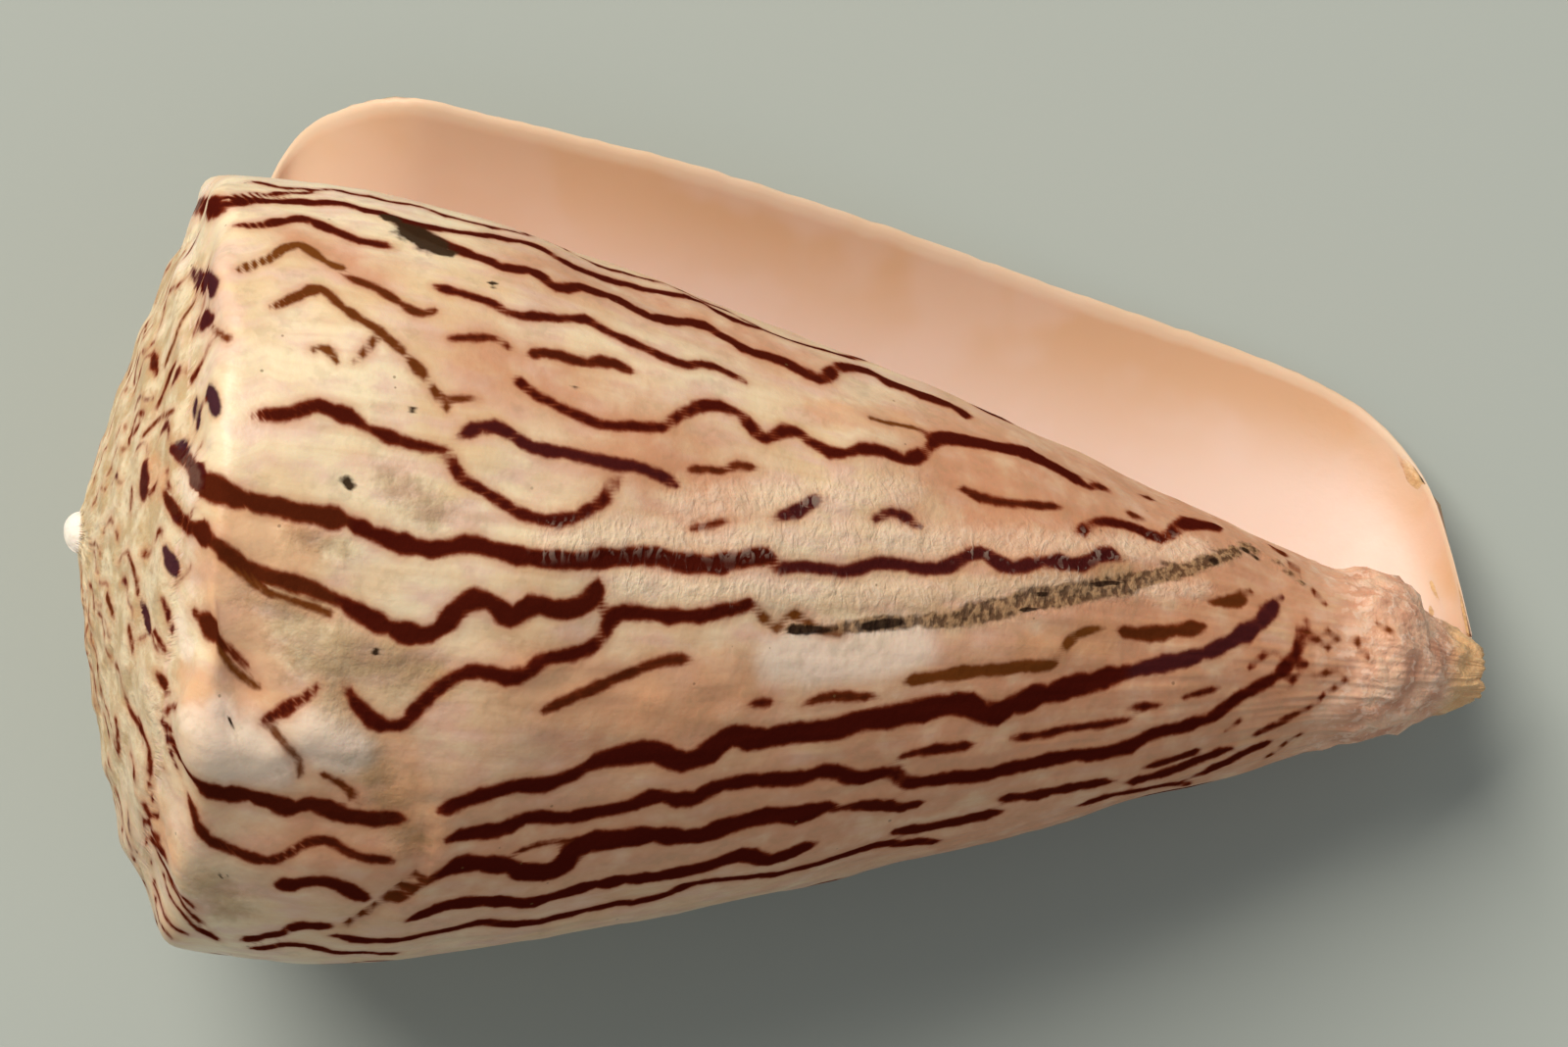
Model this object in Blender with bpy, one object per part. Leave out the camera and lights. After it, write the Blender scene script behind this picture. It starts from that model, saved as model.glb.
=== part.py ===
"""A cone shell lying on its side: one closed solid that follows the shell's own growth law.

The shell is worked out around its axis in millimetres, x running from the spire to the narrow
front end. Growth angle 0 is the lip, and every 360 degrees of it is one whorl further back in
time. At the end the shell is laid down the way that it rests, and turned to metres.
"""

import math

import bmesh
import bpy
from mathutils import Matrix, Vector

for item in list(bpy.data.objects):
    bpy.data.objects.remove(item, do_unlink=True)

# Overall size, in millimetres
SHELL_LENGTH = 60.1          # from the first whorl's plane to the front end
SHOULDER_RADIUS = 18.2       # axis to shoulder that steady growth would reach at the lip
PROTOCONCH_TIP = -0.6        # the larval shell stands this far out of the spire

# Growth: the size of a section is (1 - whorls back / WHORLS) to the power GROWTH_POWER
WHORLS = 8.0
GROWTH_POWER = 1.6
MODELLED_WHORLS = 6.4        # the rest is the smooth larval knob
GROWN_ANGLE = 150.0          # a grown shell hardly widens over this last part
GROWN_RATE = 0.2
SPIRE_SLOPE = 0.10
SPIRE_DOME = 0.0095
LAST_WHORL_DROP = 0.9        # the shoulder sinks towards the front over the last whorl

# Shoulder knobs
TUBERCLES_PER_WHORL = 15
TUBERCLE_HEIGHT = 0.55

# Wall and mouth
WALL = 1.05                  # wall thickness away from the lip
LIP_WALL = 0.45              # thickness at the lip's edge
RAMP_WALL = 1.3              # thickness of the roof next to the suture
LIP_THINS_OVER = 22.0        # degrees of growth
NOTCH_ANGLE = 22.0           # how far the lip draws back at the suture
FRONT_DRAW = 9.0             # and at the front end
LIP_ANGLE = -27.0            # where the lip stands round the axis
MOUTH_DEPTH = 158.0          # how far round the hollow is modelled

# Front end
FASCIOLE_X = 55.5
FASCIOLE_HEIGHT = 0.95
FASCIOLE_WIDTH = 1.9

# The healed break on the side that faces up
SCAR_ANGLE = 196.0
SCAR_LEDGE = 0.35

# How it lies: tilt drops the front end, roll turns it round its axis
REST_TILT = 11.0
REST_ROLL = 8.5
WORN_FLAT = 0.45             # depth worn off where it touches the ground

# Side of the body whorl, as (share of the way to the front end, share of the shoulder radius)
SIDE = (
    (0.0, 1.0), (0.1, 1.0), (0.2, 0.962), (0.3, 0.877), (0.4, 0.785), (0.5, 0.683),
    (0.6, 0.575), (0.7, 0.458), (0.8, 0.336), (0.88, 0.237), (0.94, 0.155), (1.0, 0.07),
)

# Edge of the lip, as (x, distance from the axis)
LIP = (
    (5.0, 18.6), (7.0, 21.4), (8.2, 22.8), (10.0, 22.8), (15.0, 22.2), (24.0, 21.0),
    (38.7, 18.9), (48.0, 17.1), (52.5, 15.7), (56.0, 14.0), (58.0, 11.9), (59.2, 9.3),
    (59.8, 5.4), (60.1, 2.0),
)

# Mesh: columns round the axis, and rows from the suture to the front end
COLUMNS = 64
JOIN = 6                     # row on the older whorl that the next whorl's suture meets
ROOF = 8                     # row on the older whorl that the roof of the hollow meets
ROWS = 23
STEP = 360.0 / COLUMNS
RAMP_SHARE = (0.0, 0.25, 0.5, 0.74)
NOTCH_SHARE = (1.0, 1.14, 1.27, 1.23, 1.14, 1.07, 1.0, 0.82, 0.62)
RIM_SHARE = (0.0, 0.25, 0.5, 0.75, 0.9, 1.0, 1.0, 1.0, 1.0)
INWARD = (
    (1.0, 0.0), (1.0, -0.1), (1.0, -0.15), (1.0, -0.35), (0.9, -0.7),
    (0.65, -0.9), (0.35, -1.0), (0.1, -1.0), (0.0, -1.0),
)


def smooth(t):
    t = min(max(t, 0.0), 1.0)
    return t * t * (3.0 - 2.0 * t)


def lookup(table, x):
    """A smooth curve through measured (x, value) pairs."""
    if x <= table[0][0]:
        return table[0][1]
    if x >= table[-1][0]:
        return table[-1][1]
    k = next(i for i in range(len(table) - 1) if x < table[i + 1][0])
    (x0, y0), (x1, y1) = table[k], table[k + 1]
    before = table[max(k - 1, 0)]
    after = table[min(k + 2, len(table) - 1)]
    width = x1 - x0
    slope0 = (y1 - before[1]) / (x1 - before[0]) * width
    slope1 = (after[1] - y0) / (after[0] - x0) * width
    t = (x - x0) / width
    a = (1 + 2 * t) * (1 - t) ** 2
    b = t * (1 - t) ** 2
    c = t * t * (3 - 2 * t)
    d = t * t * (t - 1)
    return a * y0 + b * slope0 + c * y1 + d * slope1


def size(angle):
    """Size of the section at a growth angle, as a share of what steady growth would reach."""
    if angle < GROWN_ANGLE:
        angle = GROWN_ANGLE - GROWN_RATE * (GROWN_ANGLE - angle)
    return max(1.0 - angle / (360.0 * WHORLS), 0.0) ** GROWTH_POWER


def shoulder_x(angle):
    """How far along the axis the shoulder stands at a growth angle."""
    radius = SHOULDER_RADIUS * size(angle)
    drop = LAST_WHORL_DROP * smooth((330.0 - angle) / 240.0)
    return SPIRE_SLOPE * radius + SPIRE_DOME * radius * radius + drop


def tubercle(angle):
    """Height of the shoulder knobs at a growth angle: round tops, flatter gaps between."""
    wave = 0.5 + 0.5 * math.cos(math.radians(angle * TUBERCLES_PER_WHORL))
    return TUBERCLE_HEIGHT * size(angle) * wave ** 1.5


def join_point(angle):
    """x and radius of the JOIN row, where the next whorl is attached."""
    share = size(angle)
    return shoulder_x(angle) + 0.9 * share, SHOULDER_RADIUS * share


def side_radius(angle, x):
    """Radius of the body whorl's side, without the spread of the lip."""
    top = shoulder_x(angle)
    share = (x - top) / (SHELL_LENGTH - top)
    r = SHOULDER_RADIUS * size(angle) * lookup(SIDE, share)
    band = math.exp(-(((x - FASCIOLE_X) / FASCIOLE_WIDTH) ** 2))
    r += FASCIOLE_HEIGHT * band * smooth((angle - 110.0) / 150.0)
    ledge = smooth((angle - SCAR_ANGLE) / 8.0) * smooth((270.0 - angle) / 50.0)
    return r - SCAR_LEDGE * ledge * smooth((17.0 - x) / 8.0)


def spread(angle, x):
    """How far the lip spreads outside the plain spiral."""
    extent = 54.0 + 53.0 * smooth((x - 20.0) / 35.0)
    share = max(1.0 - angle / extent, 0.0) ** 2
    return (lookup(LIP, x) - side_radius(0.0, x)) * share


def row_share(row):
    """How far a row below the roof line is on its way to the front end, closer at both ends."""
    u = (row - ROOF) / (ROWS - ROOF)
    return 0.35 * u + 0.325 * (1.0 - math.cos(math.pi * u))


def notch(row):
    """Degrees by which a row's lip stands back from the front part of the lip."""
    if row <= ROOF:
        return NOTCH_ANGLE * NOTCH_SHARE[row]
    share = row_share(row)
    back = NOTCH_ANGLE * NOTCH_SHARE[ROOF] * max(1.0 - share / 0.12, 0.0) ** 2
    return back + FRONT_DRAW * smooth((share - 0.28) / 0.53)


def outer(angle, row):
    """x, radius and true growth angle of the shell's outside, for a lip-parallel angle and a row."""
    true = angle + notch(row)
    share = size(true)
    radius = SHOULDER_RADIUS * share
    top = shoulder_x(true)
    bump = tubercle(true)
    join_x, join_r = join_point(true)
    if row <= 4:
        old_x, old_r = join_point(true + 360.0)
        if row == 4:
            x = top + 0.15 * share - bump
            r = 0.945 * radius + 0.5 * bump
        else:
            t = RAMP_SHARE[row]
            x = old_x + t * (top - old_x) + 0.3 * share * math.sin(math.pi * t) - 0.5 * bump * t
            r = old_r + t * (radius - old_r)
            if row == 3:
                r = old_r + 0.72 * (radius - old_r)
    elif row == 5:
        x = top + 0.4 * share - 0.6 * bump
        r = 0.987 * radius + 0.9 * bump
    elif row <= ROOF:
        x = join_x + RAMP_WALL * (row - JOIN) / (ROOF - JOIN)
        r = side_radius(true, x) if row > JOIN else join_r
    else:
        start = join_x + RAMP_WALL
        x = start + row_share(row) * (SHELL_LENGTH - start)
        r = side_radius(true, x)
    if angle < 120.0:
        part = RIM_SHARE[row] if row < ROOF else 1.0
        r += part * spread(angle, x)
    return x, r, true


def hollow_share(x):
    """The hollow is shallower towards the front end, where the canal is narrow."""
    return 1.0 - 0.5 * smooth((x - 44.0) / 14.0)


def place(x, r, true):
    turn = math.radians(LIP_ANGLE - true)
    return Vector((x, r * math.cos(turn), r * math.sin(turn)))


def outer_point(column, row):
    angle = column * STEP
    if column > COLUMNS and row > ROOF:
        x = outer(angle, row)[0]
        angle = 360.0 + (angle - 360.0) * hollow_share(x)
    return place(*outer(angle, row))


def inner_point(column, row):
    """The inside of the wall: the outside moved inwards by the wall, never past half the gap."""
    angle = column * STEP
    if row > ROOF:
        angle *= hollow_share(outer(angle, row)[0])
    x, r, true = outer(angle, row)
    thickness = LIP_WALL + (WALL - LIP_WALL) * smooth(angle / LIP_THINS_OVER)
    if row >= JOIN:
        gap = r - side_radius(true + 360.0, x)
        thickness = min(thickness, 0.45 * gap)
    along, across = INWARD[min(row, ROOF)]
    return place(x + along * thickness, r + across * thickness, true)


def build_shell():
    bm = bmesh.new()
    last = int(round(MODELLED_WHORLS * COLUMNS))
    deep = int(round(MOUTH_DEPTH / STEP))

    # Outside: whole sections over the body whorl, then only the spire part of each section,
    # and the wall that the hollow runs along
    outside = {}
    for column in range(last, -1, -1):
        for row in range(ROWS + 1):
            if column > COLUMNS and row > JOIN:
                if row < ROOF or column > COLUMNS + deep:
                    continue
            if row == 0 and column + COLUMNS <= last:
                outside[column, 0] = outside[column + COLUMNS, JOIN]
            else:
                outside[column, row] = bm.verts.new(outer_point(column, row))

    # Inside: it hangs from the older whorl at the roof and closes against it at the deep end
    inside = {}
    for column in range(deep + 1):
        for row in range(ROWS + 1):
            if row == 0:
                inside[column, 0] = outside[COLUMNS + column, ROOF]
            elif column == deep:
                inside[column, row] = outside[COLUMNS + deep, max(row, ROOF)]
            else:
                inside[column, row] = bm.verts.new(inner_point(column, row))

    # Edge of the lip: a rounded strip between the two
    edge = {0: outside[COLUMNS, JOIN + 1]}
    for row in range(1, ROWS + 1):
        middle = 0.5 * (outside[0, row].co + inside[0, row].co)
        onward = outside[0, row].co - outside[1, row].co
        edge[row] = bm.verts.new(middle + 0.15 * onward.normalized())

    def face(*corners):
        different = []
        for corner in corners:
            if corner not in different:
                different.append(corner)
        if len(different) > 2:
            bm.faces.new(different)

    for column in range(last):
        for row in range(ROWS):
            if column >= COLUMNS and row >= JOIN:
                if row < ROOF or column >= COLUMNS + deep:
                    continue
            face(
                outside[column, row],
                outside[column, row + 1],
                outside[column + 1, row + 1],
                outside[column + 1, row],
            )
    for column in range(deep):
        for row in range(ROWS):
            face(
                inside[column, row],
                inside[column + 1, row],
                inside[column + 1, row + 1],
                inside[column, row + 1],
            )
    for row in range(ROWS):
        face(outside[0, row], edge[row], edge[row + 1], outside[0, row + 1])
        face(edge[row], inside[0, row], inside[0, row + 1], edge[row + 1])

    # Front end: one flat end face round the open canal
    rim = [inside[column, ROWS] for column in range(deep, 0, -1)]
    rim += [inside[0, ROWS], edge[ROWS]]
    rim += [outside[column, ROWS] for column in range(COLUMNS + deep)]
    end = bm.faces.new(rim)
    bmesh.ops.triangulate(bm, faces=[end])

    # Larval shell: a smooth knob over the last open turn of the spire
    ring = [outside[column, 0] for column in range(last - COLUMNS, last)]
    ring += [outside[last, row] for row in range(JOIN)]
    for lift in (30.0, 60.0):
        up = math.sin(math.radians(lift))
        out = math.cos(math.radians(lift))
        start = ring if lift == 30.0 else base
        if lift == 30.0:
            base = list(ring)
        else:
            start = ring
        fresh = []
        for corner in base:
            x, y, z = corner.co
            fresh.append(bm.verts.new((x + up * (PROTOCONCH_TIP - x), out * y, out * z)))
        for k in range(len(fresh)):
            after = (k + 1) % len(fresh)
            face(start[k], start[after], fresh[after], fresh[k])
        ring = fresh
    tip = bm.verts.new((PROTOCONCH_TIP, 0.0, 0.0))
    for k in range(len(ring)):
        face(ring[k], ring[(k + 1) % len(ring)], tip)

    bmesh.ops.recalc_face_normals(bm, faces=bm.faces)
    return bm


def lay_down(bm):
    """Turns the shell to its resting position, wears small flats where it touches, in metres."""
    turn = Matrix.Rotation(math.radians(REST_TILT), 4, "Y")
    turn = turn @ Matrix.Rotation(math.radians(REST_ROLL), 4, "X")
    bmesh.ops.transform(bm, matrix=turn, verts=bm.verts)
    lowest = min(v.co.z for v in bm.verts)
    for v in bm.verts:
        v.co.z = max(v.co.z - lowest - WORN_FLAT, 0.0)
    middle_x = 0.5 * (min(v.co.x for v in bm.verts) + max(v.co.x for v in bm.verts))
    middle_y = 0.5 * (min(v.co.y for v in bm.verts) + max(v.co.y for v in bm.verts))
    for v in bm.verts:
        v.co = 0.001 * (v.co - Vector((middle_x, middle_y, 0.0)))


def shell_material():
    material = bpy.data.materials.new("shell_aragonite")
    material.use_nodes = True
    shader = material.node_tree.nodes["Principled BSDF"]
    shader.inputs["Base Color"].default_value = (0.72, 0.52, 0.36, 1.0)
    shader.inputs["Roughness"].default_value = 0.35
    return material


shell_bm = build_shell()
lay_down(shell_bm)
mesh = bpy.data.meshes.new("shell")
shell_bm.to_mesh(mesh)
shell_bm.free()
mesh.materials.append(shell_material())
shell = bpy.data.objects.new("shell", mesh)
collection = bpy.data.collections.new("cone_shell")
bpy.context.scene.collection.children.link(collection)
collection.objects.link(shell)
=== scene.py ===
# %% [markdown]
# # A worn cone shell
# A cone shell is one thin wall of aragonite, laid down along the edge of its mouth and wound round
# an axis. This lesson grows that wall from its own law, wears it, draws its brown lines on it, and
# lights it the way that a shell on a table is lit.

import math

import bmesh
import bpy
import numpy as np
from mathutils import Matrix, Vector, kdtree, noise
from mathutils.bvhtree import BVHTree


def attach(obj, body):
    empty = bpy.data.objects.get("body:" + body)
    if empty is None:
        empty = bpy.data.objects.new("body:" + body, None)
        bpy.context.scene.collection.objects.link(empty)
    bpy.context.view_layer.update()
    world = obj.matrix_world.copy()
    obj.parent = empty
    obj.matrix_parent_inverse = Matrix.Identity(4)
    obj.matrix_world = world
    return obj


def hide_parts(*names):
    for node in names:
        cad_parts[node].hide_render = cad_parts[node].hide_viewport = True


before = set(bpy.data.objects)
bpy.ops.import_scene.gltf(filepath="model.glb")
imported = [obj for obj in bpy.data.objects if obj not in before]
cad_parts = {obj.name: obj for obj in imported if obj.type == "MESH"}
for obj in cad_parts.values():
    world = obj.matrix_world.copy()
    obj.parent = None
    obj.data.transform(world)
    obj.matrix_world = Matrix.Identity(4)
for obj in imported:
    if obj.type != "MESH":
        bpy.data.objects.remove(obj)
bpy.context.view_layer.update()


def add_object(name, data):
    made = bpy.data.objects.new(name, data)
    bpy.context.scene.collection.objects.link(made)
    return made


def mesh_object(name, bm):
    """Turns a finished bmesh into an object of the scene."""
    mesh = bpy.data.meshes.new(name)
    bm.to_mesh(mesh)
    bm.free()
    return add_object(name, mesh)


# %% [markdown]
# ## How a cone shell grows
# Every whorl is a larger copy of the one before. So one number, the growth angle, places any point:
# 0 at the lip, and 360 more for each turn back in time. The values are in millimetres and degrees,
# and they are the ones that the solid model uses, so the two fit without moving anything.

# %% Growth values
MM = 0.001
SHELL_LENGTH = 60.1
SHOULDER_RADIUS = 18.2
PROTOCONCH_TIP = -0.6
WHORLS = 8.0
GROWTH_POWER = 1.6
MODELLED_WHORLS = 6.4
GROWN_ANGLE = 150.0
GROWN_RATE = 0.2
SPIRE_SLOPE = 0.10
SPIRE_DOME = 0.0095
LAST_WHORL_DROP = 0.9
LAST_WHORL_FROM = 330.0
FLARE_ENDS = 120.0
TUBERCLES_PER_WHORL = 15
TUBERCLE_HEIGHT = 0.55
WALL = 1.05
LIP_WALL = 0.45
RAMP_WALL = 1.3
LIP_THINS_OVER = 22.0
NOTCH_ANGLE = 22.0
FRONT_DRAW = 9.0
LIP_ANGLE = -27.0
MOUTH_DEPTH = 157.5
FASCIOLE_X = 55.5
FASCIOLE_HEIGHT = 0.95
FASCIOLE_WIDTH = 1.9
SCAR_ANGLE = 196.0
SCAR_LEDGE = 0.35
REST_TILT = 11.0
REST_ROLL = 8.5
AXIS_START = (-29.3087, -2.2873, 18.5098)
SIDE = (
    (0.0, 1.0), (0.1, 1.0), (0.2, 0.962), (0.3, 0.877), (0.4, 0.785), (0.5, 0.683),
    (0.6, 0.575), (0.7, 0.458), (0.8, 0.336), (0.88, 0.237), (0.94, 0.155), (1.0, 0.07),
)
LIP = (
    (5.0, 18.6), (7.0, 21.4), (8.2, 22.8), (10.0, 22.8), (15.0, 22.2), (24.0, 21.0),
    (38.7, 18.9), (48.0, 17.1), (52.5, 15.7), (56.0, 14.0), (58.0, 11.9), (59.2, 9.3),
    (59.8, 5.4), (60.1, 2.0),
)
JOIN = 6
ROOF = 8
ROWS = 23
RAMP_SHARE = (0.0, 0.25, 0.5, 0.74)
NOTCH_SHARE = (1.0, 1.14, 1.27, 1.23, 1.14, 1.07, 1.0, 0.82, 0.62)
RIM_SHARE = (0.0, 0.25, 0.5, 0.75, 0.9, 1.0, 1.0, 1.0, 1.0)
INWARD = np.array([
    (1.0, 0.0), (1.0, -0.1), (1.0, -0.15), (1.0, -0.35), (0.9, -0.7),
    (0.65, -0.9), (0.35, -1.0), (0.1, -1.0), (0.0, -1.0),
])
print("one whorl back the shell is", round((1 - 1 / WHORLS) ** GROWTH_POWER, 3), "of its size")

# %% [markdown]
# ## The law as functions
# Numpy works out thousands of points in one call. Each function takes arrays of growth angles, and
# of rows: row 0 is the suture, row 6 is where the next whorl attaches, row 23 is the front end.

# %% Growth functions
def smooth(t):
    t = np.clip(t, 0.0, 1.0)
    return t * t * (3.0 - 2.0 * t)


def field(x, y=0.0, z=0.0):
    """Blender's smooth noise at a point, about -1 to 1 and the same each run."""
    return noise.noise(Vector((x, y, z)))


def lookup(table, x):
    """A smooth curve through measured (x, value) pairs."""
    xs, ys = np.array(table).T
    slopes = np.gradient(ys, xs)
    slopes[1:-1] = (ys[2:] - ys[:-2]) / (xs[2:] - xs[:-2])
    x = np.clip(x, xs[0], xs[-1])
    k = np.clip(np.searchsorted(xs, x, side="right") - 1, 0, len(xs) - 2)
    width = xs[k + 1] - xs[k]
    t = (x - xs[k]) / width
    rise = (1 + 2 * t) * (1 - t) ** 2 * ys[k] + t * t * (3 - 2 * t) * ys[k + 1]
    bend = t * (1 - t) ** 2 * slopes[k] + t * t * (t - 1) * slopes[k + 1]
    return rise + bend * width


def size(angle):
    angle = np.where(angle < GROWN_ANGLE, GROWN_ANGLE - GROWN_RATE * (GROWN_ANGLE - angle), angle)
    return np.maximum(1.0 - angle / (360.0 * WHORLS), 0.0) ** GROWTH_POWER


def shoulder_x(angle):
    radius = SHOULDER_RADIUS * size(angle)
    drop = LAST_WHORL_DROP * smooth((LAST_WHORL_FROM - angle) / 240.0)
    return SPIRE_SLOPE * radius + SPIRE_DOME * radius * radius + drop


def tubercle(angle):
    wave = 0.5 + 0.5 * np.cos(np.radians(angle * TUBERCLES_PER_WHORL))
    worn = 1.0 - 0.5 * smooth((angle - LAST_WHORL_FROM) / 160.0)
    return TUBERCLE_HEIGHT * worn * size(angle) * wave ** 1.5


def join_point(angle):
    share = size(angle)
    return shoulder_x(angle) + 0.9 * share, SHOULDER_RADIUS * share


def side_radius(angle, x):
    top = shoulder_x(angle)
    r = SHOULDER_RADIUS * size(angle) * lookup(SIDE, (x - top) / (SHELL_LENGTH - top))
    band = np.exp(-(((x - FASCIOLE_X) / FASCIOLE_WIDTH) ** 2))
    r = r + FASCIOLE_HEIGHT * band * smooth((angle - 110.0) / 150.0)
    ledge = smooth((angle - SCAR_ANGLE) / 8.0) * smooth((270.0 - angle) / 50.0)
    return r - SCAR_LEDGE * ledge * smooth((17.0 - x) / 8.0)


def spread(angle, x):
    extent = 54.0 + 53.0 * smooth((x - 20.0) / 35.0)
    share = np.maximum(1.0 - angle / extent, 0.0) ** 2
    return (lookup(LIP, x) - side_radius(np.zeros_like(x), x)) * share


def front_draw(share):
    """How far back in growth the drawn-out front end lies."""
    return FRONT_DRAW * smooth((share - 0.28) / 0.53)


def row_share(row):
    u = (row - ROOF) / (ROWS - ROOF)
    return 0.35 * u + 0.325 * (1.0 - np.cos(np.pi * u))


def station(angle, row):
    """x, radius and true angle on one of the whole rows from the suture to the roof line."""
    true = angle + NOTCH_ANGLE * NOTCH_SHARE[row]
    share = size(true)
    radius = SHOULDER_RADIUS * share
    top = shoulder_x(true)
    bump = tubercle(true)
    join_x, join_r = join_point(true)
    if row < 4:
        old_x, old_r = join_point(true + 360.0)
        t = RAMP_SHARE[row]
        x = old_x + t * (top - old_x) + 0.3 * share * math.sin(math.pi * t) - 0.5 * bump * t
        r = old_r + (0.72 if row == 3 else t) * (radius - old_r)
    elif row == 4:
        x = top + 0.15 * share - bump
        r = 0.945 * radius + 0.5 * bump
    elif row == 5:
        x = top + 0.4 * share - 0.6 * bump
        r = 0.987 * radius + 0.9 * bump
    else:
        x = join_x + RAMP_WALL * (row - JOIN) / (ROOF - JOIN)
        r = side_radius(true, x) if row > JOIN else join_r
    near = np.where(angle < FLARE_ENDS, RIM_SHARE[row], 0.0)
    return x, r + near * spread(angle, x), true


def outer(angle, row):
    """x, radius and true angle anywhere on the outside."""
    angle = np.asarray(angle, float)
    row = np.asarray(row, float)
    rows = np.stack([np.stack(station(angle, k)) for k in range(ROOF + 1)])
    k = np.clip(np.floor(row).astype(int), 0, ROOF - 1)
    t = np.clip(row - k, 0.0, 1.0)
    pick = np.arange(len(angle))

    def at(index):
        return rows[np.clip(index, 0, ROOF), :, pick].T

    a, b, c, d = at(k - 1), at(k), at(k + 1), at(k + 2)
    curve = 0.5 * (2 * b + (c - a) * t + (2 * a - 5 * b + 4 * c - d) * t * t
                   + (3 * b - a - 3 * c + d) * t ** 3)
    share = row_share(np.maximum(row, ROOF))
    back = NOTCH_ANGLE * NOTCH_SHARE[ROOF] * np.maximum(1.0 - share / 0.12, 0.0) ** 2
    true = angle + back + front_draw(share)
    start = join_point(true)[0] + RAMP_WALL
    x = start + share * (SHELL_LENGTH - start)
    r = side_radius(true, x) + np.where(angle < FLARE_ENDS, spread(angle, x), 0.0)
    side = row > ROOF
    return np.where(side, x, curve[0]), np.where(side, r, curve[1]), np.where(side, true, curve[2])


def hollow_share(x):
    return 1.0 - 0.5 * smooth((x - 44.0) / 14.0)


def old_wall(angle, row):
    """The older whorl's wall along the hollow, one turn back from the lip."""
    x = outer(360.0 + angle, row)[0]
    return outer(360.0 + angle * np.where(row > ROOF, hollow_share(x), 1.0), row)


def inner(angle, row):
    """The inside of the wall: the outside moved inwards, never past half the gap."""
    x = outer(angle, row)[0]
    angle = angle * np.where(row > ROOF, hollow_share(x), 1.0)
    x, r, true = outer(angle, row)
    thickness = LIP_WALL + (WALL - LIP_WALL) * smooth(angle / LIP_THINS_OVER)
    gap = r - side_radius(true + 360.0, x)
    thickness = np.where(row >= JOIN, np.minimum(thickness, 0.45 * gap), thickness)
    k = np.clip(row, 0, ROOF)
    along = np.interp(k, range(ROOF + 1), INWARD[:, 0])
    across = np.interp(k, range(ROOF + 1), INWARD[:, 1])
    return x + along * thickness, r + across * thickness, true


def place(x, r, true):
    turn = np.radians(LIP_ANGLE - true)
    return np.stack([x, r * np.cos(turn), r * np.sin(turn)], axis=1)


print("shoulder at the lip:", np.round(join_point(np.array([22.0])), 2).ravel(), "mm")

# %% [markdown]
# ## The wall as sheets
# A grid from bmesh.ops.create_grid is a flat sheet of faces. Reading its own x and y as a column
# and a row, and moving each vertex to the place that the law gives, rolls the sheet into a whorl.
# Six sheets make the shell: the body whorl, the spire, the inside of the mouth, the older wall in
# it, the edge of the lip and the larval knob. Merging the shared vertices joins them.

# %% Sheets
COLUMNS = 460
BUSY_COLUMNS, BUSY_ANGLES = (120, 430), (126.0, 326.0)
DEEP = 46
MM_PER_DEGREE = 0.28
NOT_LIP = 99.0
BODY_ROWS = 110
ramp_rows = np.array([0, 0.8, 1.6, 2.4, 3.1, 3.7, 4.2, 4.7, 5.2, 5.6, 6.0])
wall_rows = np.concatenate([ramp_rows, [6.5, 7.0, 7.5], np.linspace(ROOF, ROWS, BODY_ROWS)])
deep_angles = MOUTH_DEPTH * np.linspace(0.0, 1.0, DEEP + 1) ** 1.25
knob_lifts = np.radians(np.linspace(0.0, 90.0, 8))

bm = bmesh.new()
growth_layer, along_layer, row_layer, inside_layer, lip_layer = [
    bm.verts.layers.float.new(name) for name in ("growth", "along", "row", "inside", "lip")]
map_layer = bm.loops.layers.uv.new("growth_map")


def turned(column):
    """The growth angle of a column: they stand closer on the side that is seen most."""
    columns = (0, *BUSY_COLUMNS, COLUMNS)
    angles = (0.0, *BUSY_ANGLES, 360.0)
    return 360.0 * (column // COLUMNS) + np.interp(column % COLUMNS, columns, angles)


def add_sheet(columns, rows, roll, inside):
    """A grid whose vertices go where roll(column, row) puts them."""
    made = bmesh.ops.create_grid(bm, x_segments=columns, y_segments=rows, size=1.0)["verts"]
    flat = np.array([v.co[:2] for v in made])
    column = np.rint((flat[:, 0] + 1.0) * 0.5 * columns).astype(int)
    row = np.rint((flat[:, 1] + 1.0) * 0.5 * rows).astype(int)
    points, growth, along, height, lip = roll(column, row)
    for v, p, g, a, h, e in zip(made, points, growth, along, height, lip):
        v.co = p
        v[growth_layer] = g
        v[along_layer] = a
        v[row_layer] = h
        v[inside_layer] = inside
        v[lip_layer] = e
    for face in {f for v in made for f in v.link_faces}:
        for corner in face.loops:
            around = MM_PER_DEGREE * corner.vert[growth_layer]
            corner[map_layer].uv = (around, corner.vert[along_layer])
    return len(made)


def ragged(row):
    """How many degrees the chipped edge of the lip stands back, up to a fifth of a millimetre."""
    wave = [0.8 * field(1.6 * s, 3.1) + 0.7 * field(4.5 * s, 7.7) for s in row]
    return 0.45 * np.abs(np.array(wave)) * smooth((row - ROOF) / 2.0)


def lip_cut(angle, row):
    return angle + ragged(row) * np.maximum(1.0 - angle / 12.0, 0.0)


def roll_body(column, row):
    height = wall_rows[row]
    angle = lip_cut(turned(column), height)
    x, r, true = outer(angle, height)
    return place(x, r, true), true, x, height, np.radians(angle) * r


def roll_spire(column, row):
    angle = turned(column + COLUMNS)
    height = ramp_rows[row]
    x, r, true = outer(angle, height)
    return place(x, r, true), true, x, height, np.full(len(x), NOT_LIP)


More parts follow.
